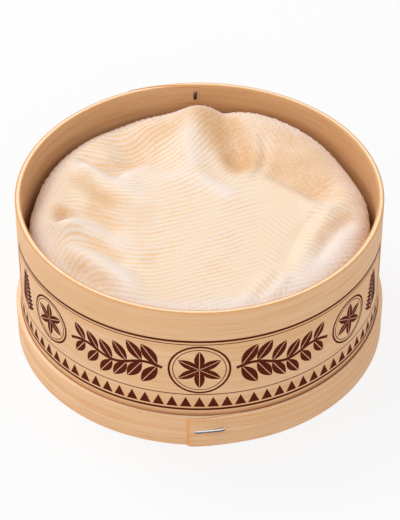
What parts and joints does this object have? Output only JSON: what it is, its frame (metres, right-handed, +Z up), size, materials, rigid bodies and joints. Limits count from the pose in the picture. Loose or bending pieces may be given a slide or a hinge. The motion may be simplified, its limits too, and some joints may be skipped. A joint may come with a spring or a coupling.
{
  "type": "boxed vacherin cheese",
  "caption": "Soft washed-rind cheese with a wavy, ribbed rind in an open round spruce box that stands in its upturned lid.",
  "frame": {"origin": "middle of the underside, on the axis of the round box", "axes": "+Z up along the box's axis, -Y the front with the lid's stapled lap, +X to the right seen from the front"},
  "size_m": [0.1586, 0.1597, 0.0707],
  "materials": {
    "rind": "soft matt washed rind with a pale velvety bloom",
    "box_spruce": "sliced spruce, planed, bare",
    "board_spruce": "sawn spruce, bare",
    "lid_spruce": "sliced spruce, planed, bare",
    "staple_wire": "dull zinc-coated flat wire"
  },
  "bodies": {
    "root": {"cheese": "rind", "box_wall": "box_spruce", "box_board": "board_spruce", "lid_wall": "lid_spruce", "lid_board": "board_spruce", "staple_front": "staple_wire", "staple_back": "staple_wire"}
  },
  "joints": []
}
